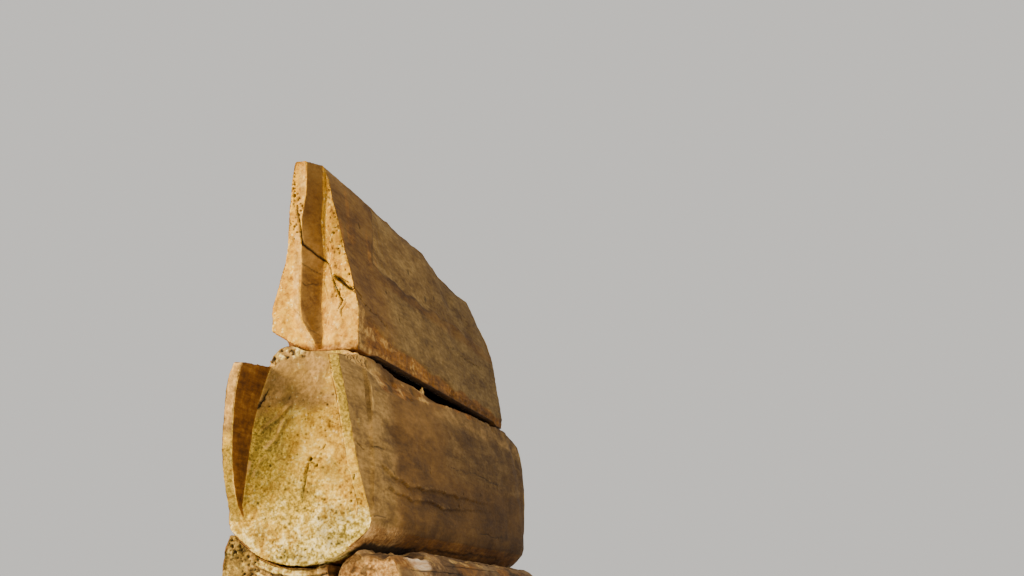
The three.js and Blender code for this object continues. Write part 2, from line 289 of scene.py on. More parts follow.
class Paint:
    """A material's node tree, with one short call for each kind of node"""

    def __init__(self, name):
        self.material = bpy.data.materials.new(name)
        self.material.use_nodes = True
        self.tree = self.material.node_tree
        self.tree.nodes.clear()
        self.place = self.node("ShaderNodeTexCoord").outputs["Object"]

    def node(self, kind, inputs=(), **settings):
        made = self.tree.nodes.new(kind)
        for key, value in settings.items():
            setattr(made, key, value)
        for key, value in dict(inputs).items():
            if isinstance(value, bpy.types.NodeSocket):
                self.tree.links.new(value, made.inputs[key])
            else:
                made.inputs[key].default_value = value
        return made

    def stretched(self, x, y, z):
        return self.node("ShaderNodeMapping", {"Vector": self.place, "Scale": (x, y, z)}).outputs[0]

    def noise(self, where, scale, detail=5.0, roughness=0.6, distortion=0.0):
        inputs = {"Vector": where, "Scale": scale, "Detail": detail}
        inputs.update({"Roughness": roughness, "Distortion": distortion})
        return self.node("ShaderNodeTexNoise", inputs).outputs["Fac"]

    def cells(self, where, scale, randomness=1.0):
        inputs = {"Vector": where, "Scale": scale, "Randomness": randomness}
        return self.node("ShaderNodeTexVoronoi", inputs).outputs["Distance"]

    def between(self, value, low, high, start=0.0, end=1.0):
        inputs = {"Value": value, "From Min": low, "From Max": high, "To Min": start, "To Max": end}
        return self.node("ShaderNodeMapRange", inputs, interpolation_type="SMOOTHSTEP").outputs[0]

    def math(self, operation, a, b):
        return self.node("ShaderNodeMath", {0: a, 1: b}, operation=operation).outputs[0]

    def blend(self, *parts):
        """The sum of several values, each times its weight"""
        weighed = [self.math("MULTIPLY", value, weight) for value, weight in parts]
        total = weighed[0]
        for other in weighed[1:]:
            total = self.math("ADD", total, other)
        return total

    def mix(self, share, a, b):
        colours = [linear(c) if isinstance(c, str) else c for c in (a, b)]
        made = self.node("ShaderNodeMix", {0: share, 6: colours[0], 7: colours[1]}, data_type="RGBA")
        return made.outputs[2]

    def ramp(self, value, *stops):
        made = self.node("ShaderNodeValToRGB", {"Fac": value})
        elements = made.color_ramp.elements
        while len(elements) < len(stops):
            elements.new(0.5)
        for element, (position, code) in zip(elements, stops):
            element.position = position
            element.color = linear(code)
        return made.outputs["Color"]

    def mask(self, name):
        return self.node("ShaderNodeAttribute", attribute_name=name).outputs["Fac"]

    def ragged(self, mask, grain, spread=0.7, soft=0.12):
        """A mask whose edge is broken up by a noise"""
        shifted = self.math("ADD", mask, self.math("MULTIPLY", self.math("SUBTRACT", grain, 0.5), spread))
        return self.between(shifted, 0.5 - soft, 0.5 + soft)

    def bump(self, height, distance, strength, below=None):
        inputs = {"Height": height, "Distance": distance, "Strength": strength}
        if below is not None:
            inputs["Normal"] = below
        return self.node("ShaderNodeBump", inputs).outputs["Normal"]

    def finish(self, colour, roughness, normal):
        inputs = {"Base Color": colour, "Roughness": roughness, "Normal": normal, "Specular IOR Level": 0.25}
        shader = self.node("ShaderNodeBsdfPrincipled", inputs)
        self.node("ShaderNodeOutputMaterial", {"Surface": shader.outputs[0]})
        return self.material


def old_wood(name, side, end, shift, silver=PLAIN_SILVER):
    """Weathered wood: side grain and end grain, and the masks for what grows or is worn on it and for painted
    shade and painted highlights
    """
    p = Paint(name)
    moved = p.node("ShaderNodeMapping", {"Vector": p.place, "Location": (shift, shift * 0.7, shift * 1.3)})
    p.place = moved.outputs[0]
    along = p.stretched(1, 0.34, 1)
    broad = p.noise(along, 4.2, 4, 0.55, 0.3)
    blotches = p.noise(along, 15, 5, 0.6, 0.5)
    grain = p.noise(along, 80, 4, 0.65)
    patches = p.noise(p.place, 16, 6, 0.62)
    clumps = p.noise(p.place, 42, 4, 0.6, 0.4)
    specks = p.noise(p.place, 105, 4, 0.65)
    fine = p.noise(p.place, 300, 3, 0.6)
    fibres = p.noise(p.stretched(9, 0.8, 7), 12, 7, 0.66, 0.3)

    # Side grain, and end grain with its flakes and freckles
    tone = p.blend((broad, 0.36), (fibres, 0.16), (blotches, 0.32), (grain, 0.16))
    side_colour = p.ramp(tone, *zip((0.38, 0.46, 0.54, 0.63), side))
    mottle = p.blend((patches, 0.3), (clumps, 0.4), (specks, 0.3))
    end_colour = p.ramp(mottle, *zip((0.37, 0.45, 0.53, 0.62), end))
    flakes = p.between(p.cells(p.place, 62), 0.34, 0.2)
    flakes = p.math("MULTIPLY", flakes, p.between(clumps, 0.48, 0.56))
    end_colour = p.mix(p.math("MULTIPLY", flakes, 0.75), end_colour, FLAKE_COLOUR)
    freckles = p.between(p.cells(p.place, 88), 0.24, 0.12)
    freckles = p.math("MULTIPLY", freckles, p.between(patches, 0.52, 0.44))
    end_colour = p.mix(p.math("MULTIPLY", freckles, 0.75), end_colour, FRECKLE_COLOUR)
    colour = p.mix(p.ragged(p.mask("end"), specks, 0.5, 0.25), side_colour, end_colour)
    silver_tone = p.blend((fibres, 0.25), (blotches, 0.4), (grain, 0.35))
    silver_colour = p.ramp(silver_tone, *zip((0.4, 0.5, 0.6), silver))
    colour = p.mix(p.ragged(p.mask("silver"), blotches, 0.9, 0.35), colour, silver_colour)

    # What grows or is worn on both, each over the one before; the last ones also carry painted highlights and
    # painted shade
    crumbled = p.blend((fibres, 0.35), (blotches, 0.35), (clumps, 0.3))
    rust = p.ramp(crumbled, (0.38, "4c2c0a"), (0.46, "784b18"), (0.54, "9c6624"), (0.62, "c08c40"))
    colour = p.mix(p.ragged(p.mask("rust"), blotches, 0.6, 0.25), colour, rust)
    moss = p.ramp(specks, (0.38, "6d5f18"), (0.5, "a58d2c"), (0.62, "d8b84a"))
    colour = p.mix(p.math("MULTIPLY", p.ragged(p.mask("moss"), clumps, 0.9, 0.25), 0.8), colour, moss)
    flaky = p.blend((clumps, 0.5), (specks, 0.5))
    crust = p.ramp(flaky, (0.41, "70601e"), (0.47, "ac973e"), (0.53, "d8c070"), (0.6, "f2e2a8"))
    colour = p.mix(p.ragged(p.mask("crust"), mottle, 2.0, 0.24), colour, crust)
    dusty = p.blend((blotches, 0.5), (specks, 0.5))
    ash = p.ramp(dusty, (0.4, "7a542a"), (0.5, "b0844a"), (0.6, "dcb47c"))
    colour = p.mix(p.ragged(p.mask("ash"), clumps, 0.9, 0.25), colour, ash)
    # Worn pale wood, in a few places a painted highlight
    pale = p.ramp(p.blend((clumps, 0.5), (fibres, 0.5)), (0.38, "a27432"), (0.6, "e0b468"))
    colour = p.mix(p.ragged(p.mask("pale"), clumps, 0.8, 0.3), colour, pale)
    # Freshly worn wood, made pale enough to also stand in for light on the side log
    fresh = p.ramp(fibres, (0.35, "c09060"), (0.52, "ecc698"), (0.62, "fbe6c6"))
    colour = p.mix(p.ragged(p.mask("fresh"), specks, 0.5, 0.2), colour, fresh)
    # Stains with painted shade, then near-black painted shade in cracks, holes and hollows, with dark streaks
    colour = p.mix(p.math("MULTIPLY", p.mask("stain_and_shade"), 0.9), colour, STAIN_AND_SHADE_COLOUR)
    colour = p.mix(p.math("MULTIPLY", p.mask("dark"), 0.92), colour, SHADE_AND_STREAK_COLOUR)

    normal = p.bump(p.blend((fibres, 0.35), (clumps, 0.35), (patches, 0.3)), 0.007, 0.4)
    normal = p.bump(p.blend((specks, 0.7), (fine, 0.3)), 0.004, 0.4, normal)
    return p.finish(colour, p.between(mottle, 0.3, 0.7, 0.84, 0.97), normal)


# The chest: its half width by height, and the places along it where its parts begin and end

HEWN_VOXEL = 4.0
HEWN_FACES = 192000
LOOK_AHEAD = 30

CHEST_HEIGHTS = (0, 40, 117.5, 165, 254, 390, 498, 600, 695, 730)
CHEST_WIDTHS = (1, 140, 243, 253, 248, 235, 223, 206, 182, 174)
CHEST_WALL = 38
TROUGH_FLOOR = 66
CAVITY_END = 945
CAVITY_TOP = 745
CHEEK_START = 1040
END_START = 1020
STEP_END = 1135
STEP_HEIGHTS = (0, 165, 730)
STEP_PLACES = (-1114, -1112, -1040)
HUMP_HALF = 176
ROUND_TOP = 190
SHOULDER_PLACES = (-1300, -1156, -1057, -1005, -970, -780, -640, -430, -150, 20)
SHOULDER_HEIGHTS = (684, 674, 668, 658, 622, 613, 618, 647, 664, 688)

# Each ledge is the line of its lip as (place, height), and how deep the wood below it is gone
SIDE_LEDGES = (
    (((-1010, 338), (-923, 325), (-883, 308), (-771, 301), (-654, 296), (-330, 307), (118, 313),
      (500, 318)), 9),
    (((-1010, 262), (-956, 267), (-892, 262), (-721, 262), (-666, 244), (-476, 256), (-345, 249),
      (-205, 247), (200, 276), (600, 296)), 6),
)

# Cracks as (line, width, depth, darkness, waver)
RIGHT_CRACKS = (
    (((-1088, 398), (-1030, 404), (-959, 400)), 4.5, 7, 0.75, 9),
    (((-1226, 388), (-1180, 378), (-1141, 370)), 5, 9, 0.75, 9),
    (((-1107, 158), (-1040, 160), (-976, 164)), 4, 5, 0.75, 9),
    (((-640, 60), (-500, 77), (-100, 84), (400, 90), (900, 84)), 6, 5, 0.75, 9),
    (((-200, 420), (200, 431), (700, 425)), 4, 4, 0.75, 9),
    (((150, 180), (500, 176), (1000, 190)), 4, 4, 0.75, 9),
)
LEFT_CRACKS = (
    (((-1000, 402), (-600, 385), (-50, 410), (500, 400), (900, 372)), 6, 8, 0.7, 14),
    (((-700, 205), (-300, 190), (400, 214), (1000, 200)), 6, 8, 0.7, 14),
)
PANEL_CRACKS = (
    (((21, 341), (14, 300), (10, 262), (4, 206)), 7.5, 13, 0.62, 2),
    (((70, 384), (84, 404)), 5, 10, 0.9, 1),
    (((-142, 604), (-158, 566), (-172, 528)), 7, 16, 1.0, 2),
)
LEFT_CHEEK_CRACKS = (
    (((-262, 533), (-205, 545)), 4, 6, 0.7, 1),
    (((-262, 470), (-215, 478)), 4, 6, 0.7, 1),
)
REAR_CRACKS = (
    (((-30, 560), (-12, 470), (-22, 380), (-36, 305)), 6, 12, 0.7, 5),
    (((110, 600), (96, 500), (110, 420)), 5, 9, 0.7, 5),
)

# Holes as (across or along, height, radius, depth)
RIGHT_PITS = (
    (-50, 275, 9, 9), (-414, 392, 7, 5), (-425, 372, 6, 5), (-880, 325, 9, 5), (30, 330, 7, 5),
    (-815, 222, 6, 4), (320, 350, 8, 5),
)
PANEL_PITS = ((28, 354, 9, 30), (52, 333, 6, 22), (42, 340, 4.5, 12), (34, 343, 4.5, 8))
REAR_PITS = ((-40, 300, 8, 22), (60, 480, 6, 16), (90, 250, 5, 12))
SMALL_PANEL_PITS = 290
DENTS = 26

# Terraces of the front face as a line down across it, and how deep the wood below it is gone
TERRACES = (
    (((-40, 552), (-68, 528), (-94, 500), (-127, 473), (-166, 438)), 6),
    (((-62, 512), (-74, 489), (-89, 438), (-106, 415), (-146, 380)), 7),
    (((-120, 372), (-150, 350), (-166, 318), (-172, 286)), 5),
)
CHEEK_ROOT = ((-208, 232), (-203, 286), (-187, 349))


def find_chest_zones(c):
    """Which part of the chest each point is on"""
    x, y, z = c.at.T
    nx, ny, nz = c.normal.T
    ahead = c.at + c.normal * LOOK_AHEAD
    wall = np.interp(ahead[:, 2], CHEST_HEIGHTS, CHEST_WIDTHS)
    c.within = (abs(ahead[:, 0]) < wall - CHEST_WALL) & (ahead[:, 2] > TROUGH_FLOOR)
    cavity = c.within & (abs(ahead[:, 1]) < CAVITY_END) & (z < CAVITY_TOP)
    c.cavity = cavity.astype(np.float32)
    recess = c.within & (abs(ahead[:, 1]) > CHEEK_START) & (abs(y) > CHEEK_START)
    c.recess = recess.astype(np.float32)
    c.end = (abs(y) > END_START) * smooth(0.8, 0.5, abs(nx)) * smooth(0.9, 0.6, nz) * (1 - c.cavity)
    outside = abs(x) - np.interp(z, CHEST_HEIGHTS, CHEST_WIDTHS)
    c.end *= 1 - smooth(0.5, 2.5, outside) * (abs(y) < STEP_END) * (z > 60)
    c.front = c.end * (y < 0)
    c.rear = c.end * (y > 0)
    c.panel = c.front * (c.recess + (z < ROUND_TOP) > 0)
    c.cheek_inside = c.recess * smooth(0.6, 0.8, abs(nx))
    c.right = smooth(0.35, 0.6, nx) * (x > 0) * (1 - c.cavity) * (1 - c.recess)
    c.left = smooth(0.35, 0.6, -nx) * (x < 0) * (1 - c.cavity) * (1 - c.recess)
    c.sides = np.clip(c.left + c.right, 0, 1)
    c.step_line = np.interp(z, STEP_HEIGHTS, STEP_PLACES)
    c.ledge = (y < -1050) * (abs(x) < HUMP_HALF) * smooth(696, 708, z) * smooth(734, 726, z)


def wear_chest(c):
    """Weathering all over: grain-long waves on the sides, lumps and flaked layers on the ends"""
    x, y, z = c.at.T
    grain = rough(c.at, 70, 11, 3, (1, 4, 1))
    lumps = rough(c.at, 42, 21)
    grit = rough(c.at, 11, 31, 2)
    strokes = rough(c.at, 55, 41, 2, (1, 3, 1))
    c.mask(end=c.end)
    c.depth += 1.5 + 1.1 * grain + 0.5 * grit
    c.depth += c.sides * (1.8 * strokes + 1.5)
    c.depth += c.end * (1.0 * lumps + 1.1 * abs(grit) + 0.5)
    crisp = (y < -1090) * smooth(110, 150, x) * smooth(210, 180, z)
    nibbled = 3 + 4 * np.clip(noise(c.at, 26, 51) + 0.3, 0, 1)
    c.depth += c.edge * (1 - c.ledge) * (1 - 0.7 * crisp) * nibbled
    c.mask(pale=c.edge * c.sides * (1 - hill(y, c.step_line, 24)) * 0.4)
    c.depth += c.end * 1.5 * flaked(c.at, 34, 93)


def wear_chest_sides(c):
    """Two long ledges, undercut below their lips, cracks, soft dents and a groove at the cheek"""
    x, y, z = c.at.T
    right, step_line = c.right, c.step_line
    for lip, drop in SIDE_LEDGES:
        below = np.interp(y, *zip(*lip)) + 7 * rough(c.at, 60, 200 + drop, 2) - z
        run = right * smooth(-1035, -975, y) * smooth(700, -400, y)
        c.depth += run * drop * np.where(below > 0, np.exp(-np.clip(below, 0, 400) / 36), 0)
        c.depth -= run * 3 * np.where(below < 0, hill(below, 0, 24), 0)
        # Painted shadow in a thin dark line just under each lip, with a pale band just above it
        c.mask(dark=run * hill(below, 3, 4) * 0.3, pale=run * hill(below, -7, 7) * 0.3)
        c.mask(stain_and_shade=run * hill(below, -34, 22) * 0.25)
    c.cuts(right, y, z, RIGHT_CRACKS, 70)
    dents = np.random.default_rng(12)
    for _ in range(DENTS):
        centre = dents.uniform((-1000, 90), (1000, 620))
        reach = dents.uniform((40, 14), (130, 42))
        bowl = hill(y, centre[0], reach[0]) * hill(z, centre[1], reach[1])
        c.depth += c.sides * bowl * dents.uniform(1.5, 5)
        # Painted shade in each dent
        c.mask(stain_and_shade=c.sides * bowl * 0.2)
    c.cuts(c.left, y, z, LEFT_CRACKS, 70)
    c.pit(right, y, z, RIGHT_PITS, 0.7)

    # The line where the cheek begins: a pale thread below as a painted highlight, a groove darkened with
    # painted shade, and a pale sliver above it as a painted highlight
    thread = hill(y, step_line + 7, 4) * smooth(420, 390, z) * smooth(175, 215, z)
    c.mask(pale=right * thread * 0.4)
    bend = 7 * noise(c.at, 45, 65)
    groove = hill(y, step_line - 8 - bend, 10) * smooth(465, 520, z) * smooth(632, 604, z)
    c.depth += right * groove * 8
    c.mask(stain_and_shade=right * groove * 0.55)
    sliver = hill(y, step_line + 16 - bend, 9) * smooth(470, 560, z) * smooth(632, 604, z)
    c.depth -= right * sliver * 2
    c.mask(pale=right * sliver * 0.6)

    # Grey wood to the front and above, two darker blotches, and painted shade to the rear and below
    c.mask(silver=right * smooth(-700, -1000, y) * 0.85)
    c.mask(silver=right * smooth(330, 420, z) * smooth(-500, 0, y) * 0.45)
    c.mask(pale=right * hill(y, -965, 38) * smooth(370, 470, z) * smooth(640, 580, z) * 0.3)
    blotch = hill(y, -780, 110) * smooth(310, 380, z) + hill(y, -560, 150) * smooth(250, 120, z)
    c.mask(stain_and_shade=right * blotch * 0.22)
    # Painted shade: the side darkens towards the rear
    c.mask(stain_and_shade=right * smooth(-1000, 400, y) * smooth(640, 600, z) * 0.58)
    # Painted shade low at the front, where the side turns in under the belly
    c.mask(stain_and_shade=right * smooth(220, 130, z) * smooth(-900, -700, y) * 0.45)
    c.depth += right * 3 * hill(y, -800, 60) * hill(z, 470, 130)
    c.depth += right * 3 * hill(y, -430, 80) * hill(z, 380, 60)
    splintered = hill(y, -1190, 30) * hill(z, 470, 34)
    c.depth += right * splintered * np.clip(5 * rough(c.at, 16, 68, 2, (1, 1, 2)), 0, 8)
    c.mask(crust=right * splintered * 0.35)

    # The crumbling front of the belly, and painted shadow in the hollow between it and the side log
    low_front = right * smooth(170, 105, z) * smooth(-560, -850, y)
    c.mask(ash=low_front * 0.8, crust=low_front * smooth(-960, -1070, y) * 0.4)
    # Painted shadow, near black, low on the belly's right above the side log
    below_edge = smooth(82, 74, z + 5 * noise(c.at, 14, 69)) * smooth(140, 155, x) * smooth(-1070, -1030, y)
    below_edge *= smooth(-450, -540, y) * smooth(0.5, 0.2, abs(c.normal[:, 1]))
    c.mask(dark=below_edge)
    c.depth += low_front * np.clip(4 * rough(c.at, 22, 66), 0, 9)
    c.mask(dark=low_front * smooth(0.5, 0.9, rough(c.at, 15, 67, 2)) * 0.7)


def wear_chest_tops(c, crumbs):
    """The crumbled shoulder at the right, and the worn wall tops"""
    x, y, z = c.at.T
    shoulder_low = np.interp(y, SHOULDER_PLACES, SHOULDER_HEIGHTS)
    shoulder_low += 8 * noise(c.at, 40, 60, (1, 1.6, 1))
    shoulder = smooth(shoulder_low - 6, shoulder_low + 8, z) * (x > 60)
    shoulder *= (1 - c.cavity) * (1 - c.recess)
    splinters = rough(c.at, 30, 63, 3, (1, 3.5, 1))
    torn = smooth(0.1, 0.6, noise(c.at, 38, 64, (1, 2, 1))) * smooth(-1000, -900, y)
    c.depth += shoulder * (3 * splinters + 2 * crumbs + 1 + 6 * torn)
    behind = shoulder * smooth(-1040, -960, y)
    c.mask(rust=behind * smooth(900, 200, y) * (0.55 + 0.4 * noise(c.at, 50, 62, (1, 2, 1))))
    # Painted highlights on the splinters' ridges and painted shade in the grooves between them
    c.mask(pale=behind * smooth(700, -200, y) * smooth(0.2, -0.6, splinters) * 0.6)
    c.mask(dark=behind * smooth(0.5, 0.9, splinters) * smooth(300, -300, y) * 0.5)
    # The front corner: cream crust, and pale as painted light, with painted shade in its pits
    corner = shoulder * smooth(-955, -985, y)
    ridge_specks = rough(c.at, 13, 71, 2)
    c.mask(crust=corner * 0.3, pale=corner * 0.8, dark=corner * smooth(0.1, 0.45, ridge_specks) * 0.9)
    c.depth += corner * np.clip(6 * ridge_specks, 0, 7)
    tops = smooth(0.5, 0.8, c.normal[:, 2]) * (z > 600) * (1 - c.ledge)
    c.depth += tops * (1 - shoulder) * (1.5 * crumbs + 1)
    c.mask(rust=tops * 0.35)


def grow_chest_front(c):
    """What covers the front: crust low on the panel, moss above it, bare grey wood at the top"""
    x, y, z = c.at.T
    panel = c.panel
    low_right = smooth(330, 60, z) * smooth(-60, 140, x)
    bottom = smooth(200, 40, z) * (0.22 + 0.35 * noise(c.at, 50, 96))
    crusted = 0.2 + smooth(350, 20, z) * 0.12 + bottom + low_right * 0.48
    c.mask(crust=panel * np.clip(crusted, 0, 0.85))
    green = hill(x, -150, 70) * hill(z, 390, 90) + hill(x, 0, 120) * hill(z, 190, 70)
    mossy = np.clip(0.46 * smooth(620, 480, z) + green * 0.4, 0, 1)
    sunny = smooth(-60, 20, x) * smooth(300, 400, z)
    c.mask(moss=panel * mossy * (1 - 0.6 * low_right - 0.4 * sunny))

    cheek_edge = c.front * (1 - c.recess) * (abs(x) > 140) * (z > 150) * (z < 700)
    right_edge = cheek_edge * (x > 0)
    left_edge = cheek_edge * (x < 0)
    c.mask(moss=right_edge * (0.3 + 0.6 * smooth(330, 520, z)), stain_and_shade=right_edge * smooth(320, 480, z) * 0.42)
    c.mask(moss=left_edge * smooth(430, 380, z) * 0.6, stain_and_shade=left_edge * smooth(430, 330, z) * 0.32)
    c.mask(silver=left_edge * smooth(390, 460, z), pale=left_edge * smooth(400, 500, z) * 0.6)

    hump = c.front * (z > 690) * (abs(x) < 185)
    c.mask(moss=hump * hill(x, np.interp(z, (690, 737), (128, 84)), 24) * 0.85)
    # The hump's right end: cream crust, and pale as painted light, with dark specks as painted shade in pits
    hump_right = hump * smooth(95, 125, x)
    c.mask(crust=hump_right * 0.3, pale=hump_right * 0.55)
    c.mask(dark=hump_right * smooth(0.15, 0.45, noise(c.at, 12, 73)) * 0.9)
    plain_top = np.maximum(panel * smooth(480, 560, z), hump * smooth(100, 40, x))
    terraced = panel * smooth(10, -110, x) * smooth(270, 400, z)
    c.mask(silver=np.maximum(plain_top * (0.8 - 0.35 * smooth(20, 120, x)), terraced * 0.6))
    dim = hill(x, -95, 60) * hill(z, 640, 70)
    stains = smooth(0.15, 0.75, rough(c.at, 75, 83))
    c.mask(stain_and_shade=panel * np.clip(dim * 0.35 + stains * 0.4 + terraced * 0.15 * noise(c.at, 60, 81), 0, 1))
    c.depth += panel * smooth(330, 140, z) * (1.4 * rough(c.at, 17, 91, 2))
    c.depth += plain_top * (1.2 * noise(c.at, 15, 95, (1, 1, 12)))


def wear_chest_front(c):
    """Pits, cracks and terraces of the front face, and the rotted arc of the hump above it"""
    x, y, z = c.at.T
    panel = c.panel
    holes = np.random.default_rng(31)
    spots = list(PANEL_PITS)
    for _ in range(SMALL_PANEL_PITS):
        height = 25 + 560 * holes.random() ** 1.7
        reach = np.interp(height, (25, 120, 250, 600), (90, 195, 205, 150))
        spots.append((holes.uniform(-reach, reach), height, holes.uniform(2.2, 5), holes.uniform(3, 8)))
    c.pit(panel, x, z, spots, 0.8)
    c.cuts(panel, x, z, PANEL_CRACKS)
    c.cut(c.front, x, z, ((219, 290), (213, 270)), 4.5, 9, 0.9, 1)
    for k, (line, drop) in enumerate(TERRACES):
        gap, place = near_line(x + 5 * noise(c.at, 28, 101 + k), z, line)
        below = np.sign(z - np.interp(x, *zip(*reversed(line))))
        bank = panel * smooth(0, 0.15, place) * smooth(1, 0.85, place)
        c.depth += bank * hill(gap, 0, 22) * drop * np.where(below < 0, smooth(0, 5, gap), 0)
        # Painted shadow under each terrace's lip, and a pale band above it
        c.mask(dark=bank * np.where(below < 0, hill(gap, 4, 5), 0) * 0.55)
        c.mask(pale=bank * np.where(below > 0, hill(gap, 6, 9), 0) * 0.5)
    gap, _ = near_line(x, z, CHEEK_ROOT)
    c.depth -= panel * 4 * hill(gap, 0, 5)
    # A pale crest on the raised root, and painted shadow beside it
    c.mask(pale=panel * hill(gap, 0, 5) * 0.9, dark=panel * hill(gap, 11, 5) * (x > -205) * 0.45)
    arc = np.interp(x, (-160, -130, -90, -50, 0), (672, 698, 716, 714, 716))
    rot = c.end * smooth(arc - 14, arc + 6, z + 8 * noise(c.at, 22, 112)) * smooth(10, -35, x)
    worm = rough(c.at, 12, 111, 2)
    c.depth += rot * np.clip(11 * worm, 0, 15)
    # Painted shade in the deepest worm holes, and crust between them
    c.mask(dark=rot * smooth(0.1, 0.5, worm) * 0.95, crust=rot * smooth(0.1, -0.4, worm) * 0.5)


def wear_chest_elsewhere(c, crumbs):
    """Adze marks inside and on the cheeks, wear of its own at the rear, and a crumbly underside, with painted
    shade inside, on the cheeks' inner faces and under the belly
    """
    x, y, z = c.at.T
    nz = c.normal[:, 2]
    # The cheeks' inner faces: rust brown, with painted shade
    c.mask(rust=c.cheek_inside * 0.8, stain_and_shade=c.cheek_inside * 0.6)
    # Painted shade inside the chest
    c.mask(stain_and_shade=c.cavity * 0.75)
    adze = abs(noise(c.at, 55, 121, (1, 2.4, 1)))
    c.depth += (c.cavity + c.cheek_inside * 0.4) * 3 * adze
    c.cuts(c.front * (1 - c.recess) * (x < 0), x, z, LEFT_CHEEK_CRACKS)

    c.mask(crust=c.rear * smooth(420, 120, z) * 0.55)
    c.mask(moss=c.rear * smooth(150, 400, z) * smooth(650, 500, z) * 0.5)
    c.pit(c.rear, x, z, REAR_PITS, 1.0)
    c.cuts(c.rear, x, z, REAR_CRACKS)

    under = smooth(-0.2, -0.6, nz) * (1 - c.end) * (1 - c.recess) * (z < 240)
    c.depth += under * (1.2 * crumbs + 1)
    # Rust on the underside, with painted shade that grows towards the rear
    c.mask(rust=under * 0.6, stain_and_shade=under * smooth(-900, -600, y) * 0.35)


def carve_chest():
    c = Carving("chest_wood", "chest", HEWN_VOXEL, 5)
    find_chest_zones(c)
    crumbs = rough(c.at, 24, 61)
    wear_chest(c)
    wear_chest_sides(c)
    wear_chest_tops(c, crumbs)
    grow_chest_front(c)
    wear_chest_front(c)
    wear_chest_elsewhere(c, crumbs)

    # The front face runs on evenly from the panel into the hump above it
    x, y, z = c.at.T
    nx, ny, nz = c.normal.T
    on_face = (y < -1050) * (ny < 0.3) * (abs(x) < HUMP_HALF) * smooth(600, 640, z) * (abs(nx) < 0.5)
    on_face *= np.maximum(smooth(0.9, 0.6, nz), z < 722)
    on_face *= c.within | (z > 700)
    face = np.interp(z, (620, 787), (-1096, -1063))
    c.at[:, 1] = y + on_face * np.clip(face - y, -9, 9)
    c.normal[on_face * (c.ledge > 0.3) > 0.5] = (0, -0.98, 0.2)

    seen = np.clip(smooth(-960, -1050, y) + c.right * 0.55 * smooth(1000, 300, y), 0, 1)
    seen *= 1 - 0.9 * c.cavity
    c.done(seen, HEWN_FACES, "chest_wood", "base")


# The lid: its hollow's half width by height, and the edges of the groove in its gable

HOLLOW_HEIGHTS = (700, 860, 950, 1080, 1190, 1245)
HOLLOW_WIDTHS = (124, 124, 102, 66, 34, 4)
HOLLOW_END = 915
GABLE_START = 930
GROOVE_HEIGHTS = (745, 790, 815, 850, 900, 1083, 1209, 1290, 1400)
GROOVE_LEFT = (10, -12, -30, -47, -56, -56, -41, -16, 4)
GROOVE_DEEPEST = (24, 22, 18, 11, 6, 8, 10, 26, 42)
GROOVE_RIGHT = 75

CREASE = ((-745, 1132), (-623, 1112), (-441, 1105), (-179, 1095), (0, 1105), (300, 1118), (1000, 1110))
FIELD_START = ((1100, -735), (1132, -743), (1204, -727), (1310, -682), (1400, -640))
SLOPE_PITS = (
    (-260, 1218, 15, 5), (-56, 1146, 17, 5), (-521, 956, 12, 4), (-860, 1240, 14, 4), (90, 1190, 11, 4),
    (-640, 1040, 9, 3),
)
# Bowls of the slope as (centre, reach, depth)
SLOPE_BOWLS = (((387, 1235), (90, 40), 9), ((330, 1080), (70, 45), 8), ((620, 1180), (110, 40), 7))
RIGHT_SLOPE_CRACKS = (
    (((-1020, 925), (-930, 905), (-820, 900), (-700, 880)), 5, 5, 0.7, 8),
    (((200, 1000), (500, 985), (800, 992)), 4, 4, 0.6, 8),
)
LEFT_SLOPE_CRACKS = (
    (((-700, 1010), (-300, 985), (300, 1015), (800, 1000)), 6, 8, 0.8, 12),
    (((-500, 1180), (-100, 1165), (350, 1190)), 5, 6, 0.8, 12),
)
GNARLS = ((-560, 798), (-390, 790), (-240, 782), (-700, 812), (150, 776))

# Worm holes of the gable as (lowest, highest, how many, side of the groove), and some large ones
WORMS = ((930, 1330, 70, 1), (1130, 1370, 46, -1))
LARGE_WORMS = (
    (-62, 1282, 7, 14), (-35, 1247, 6, 12), (-68, 1256, 5, 9), (-50, 1218, 5, 10), (56, 1321, 4, 8),
    (53, 1303, 5, 9), (75, 1263, 5, 8), (69, 1237, 5, 8), (71, 1150, 6, 9), (31, 1104, 7, 10),
)
GABLE_CRACKS = (
    (((-54, 1250), (-56, 1228), (-51, 1190)), 8, 14, 0.95, 2),
    (((-52, 1215), (-49, 1165), (-46, 1120), (-29, 1106), (2, 1084), (24, 1060), (40, 1042), (60, 995),
      (75, 957), (91, 926), (101, 913), (79, 872)), 7, 13, 0.95, 2),
    (((22, 1066), (40, 1042), (60, 995), (75, 957), (91, 926)), 7, 12, 0.95, 2),
    (((64, 1010), (92, 990), (128, 950)), 5, 9, 0.85, 2),
    (((-59, 1060), (-25, 1040), (6, 1021)), 4, 5, 0.55, 2),
    (((-58, 996), (-42, 978), (5, 990)), 4, 4, 0.5, 2),
    (((-92, 908), (-43, 850), (-16, 813), (16, 793)), 4, 6, 0.5, 2),
    (((8, 1000), (24, 960), (36, 935)), 4, 5, 0.5, 2),
)
BROKEN_CRACKS = (
    (((66, 1004), (84, 990), (118, 962), (160, 938)), 11, 24, 1.0, 3),
    (((84, 1000), (104, 985), (126, 978)), 6, 12, 0.9, 2),
    (((100, 940), (112, 905), (96, 880), (102, 850)), 5, 8, 0.8, 3),
)
RIM_RISE = 12


